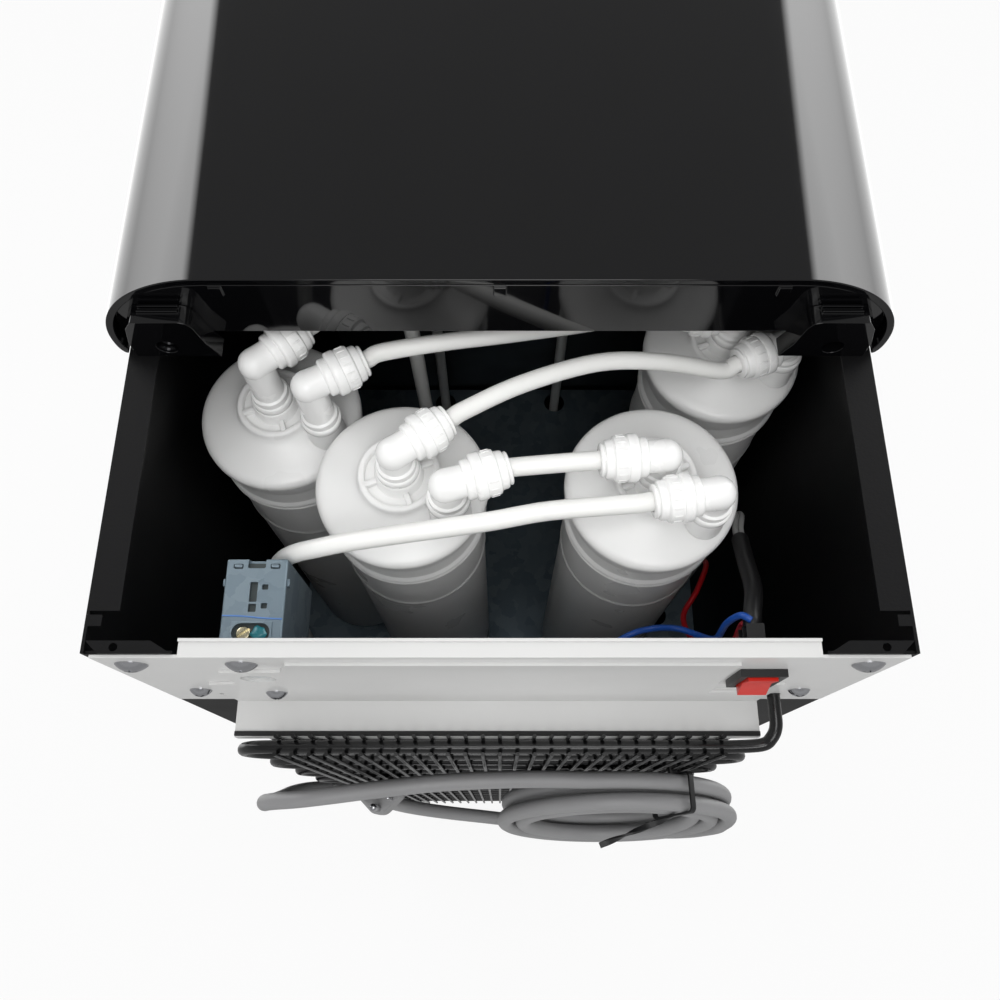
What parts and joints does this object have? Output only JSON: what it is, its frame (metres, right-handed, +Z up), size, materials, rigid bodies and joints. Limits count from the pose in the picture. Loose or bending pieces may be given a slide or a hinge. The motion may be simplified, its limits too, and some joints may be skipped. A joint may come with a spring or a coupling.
{
  "type": "floor standing bottleless water cooler",
  "caption": "Slim black bottleless water cooler with its top lid slid forward over a bay of inline filters, and a wire condenser and coiled cord at the back.",
  "frame": {"origin": "on the floor, under the middle of the whole cooler as it is drawn with its lid slid open, which is 39 mm in front of the middle of the body", "axes": "+Z up, the front and its taps face -Y, the condenser and the cord are on the +Y side"},
  "size_m": [0.257, 0.5078, 1.044],
  "materials": {
    "black_powder": "textured powder coat",
    "pale_paint": "satin",
    "grey_paint": "satin",
    "gloss_black": "gloss",
    "black_plastic": "fine texture",
    "galvanised": "galvanised",
    "screw_steel": "bright zinc",
    "black_enamel": "gloss enamel",
    "rubber": "matte",
    "copper": "satin copper",
    "stainless": "brushed",
    "foam": "matte foam",
    "white_plastic": "satin",
    "white_tube": "satin",
    "blue_plastic": "satin",
    "red_plastic": "satin",
    "grey_green_plastic": "matte",
    "pale_brass": "satin",
    "wire_colours": "satin",
    "cord_grey": "satin"
  },
  "bodies": {
    "case": {"left_side_panel": "black_powder", "right_side_panel": "black_powder", "rear_upper_panel": "pale_paint", "rear_lower_panel": "grey_paint", "base_pan": "galvanised", "feet": "rubber", "front_fascia": "gloss_black", "alcove_liner": "black_plastic", "lower_front_panel": "gloss_black", "filter_deck": "galvanised", "tank_shelf": "galvanised", "panel_screws": "screw_steel", "condenser_channel": "pale_paint", "condenser_tube": "black_enamel", "condenser_wires": "black_enamel", "compressor": "black_enamel", "compressor_mounts": "rubber", "filter_drier": "copper", "refrigerant_lines": "copper", "cold_tank": "stainless", "evaporator_coil": "copper", "hot_tank": "stainless", "heater_band": "stainless", "tank_insulation": "foam", "filter_1": "white_plastic", "filter_2": "white_plastic", "filter_3": "white_plastic", "filter_4": "white_plastic", "filter_caps": "white_plastic", "elbow_fittings": "white_plastic", "supply_tube": "white_tube", "filter_tube_1": "white_tube", "filter_tube_2": "white_tube", "filter_tube_3": "white_tube", "tank_feed_tube": "white_tube", "tap_hoses": "white_tube", "inlet_valve": "blue_plastic", "inlet_fitting": "white_plastic", "thermostat_box": "galvanised", "thermostat_body": "grey_green_plastic", "rocker_bezel": "black_plastic", "wiring": "wire_colours", "wire_sleeve": "black_plastic", "strain_relief": "black_plastic", "power_cord": "cord_grey", "power_cord_coil": "cord_grey", "power_plug": "cord_grey", "cord_tie": "black_plastic", "tap_spouts": "black_plastic"},
    "lid": {"top_lid": "gloss_black", "lid_rear_wall": "gloss_black", "lid_corner_blocks": "black_plastic", "lid_runners": "black_plastic"},
    "rocker": {"rocker_key": "red_plastic"},
    "thermostat_knob": {"thermostat_screw": "pale_brass"},
    "cold_paddle": {"cold_lever": "blue_plastic"},
    "hot_paddle": {"hot_lever": "red_plastic"},
    "lock_button": {"child_lock": "red_plastic"},
    "tray": {"drip_tray": "black_plastic"},
    "grille": {"drip_grille": "stainless"}
  },
  "joints": [
    {"name": "lid_slide", "type": "slide", "parent": "case", "child": "lid", "axis": [0, 1, 0], "range_m": [0, 0.101]},
    {"name": "hot_switch_rock", "type": "hinge", "parent": "case", "child": "rocker", "pos_m": [-0.084, 0.215, 0.9795], "axis": [1, 0, 0], "range_deg": [-14, 0]},
    {"name": "thermostat_turn", "type": "hinge", "parent": "case", "child": "thermostat_knob", "pos_m": [0.0816, 0.2045, 0.99], "axis": [0, 0, 1], "range_deg": [-135, 135]},
    {"name": "cold_lever_push", "type": "hinge", "parent": "case", "child": "cold_paddle", "pos_m": [0.038, -0.07, 0.815], "axis": [1, 0, 0], "range_deg": [0, 15], "stiffness_Nm_per_rad": 0.15, "springref_deg": -8.59},
    {"name": "hot_lever_push", "type": "hinge", "parent": "case", "child": "hot_paddle", "pos_m": [-0.038, -0.07, 0.815], "axis": [1, 0, 0], "range_deg": [0, 15], "stiffness_Nm_per_rad": 0.15, "springref_deg": -8.59},
    {"name": "child_lock_press", "type": "slide", "parent": "case", "child": "lock_button", "axis": [0, 1, 0], "range_m": [0, 0.003], "stiffness_N_per_m": 300, "springref_m": -0.001},
    {"name": "drip_tray_pull", "type": "slide", "parent": "case", "child": "tray", "axis": [0, -1, 0], "range_m": [0, 0.09]},
    {"name": "drip_grille_lift", "type": "slide", "parent": "tray", "child": "grille", "axis": [0, 0, 1], "range_m": [0, 0.05]}
  ]
}
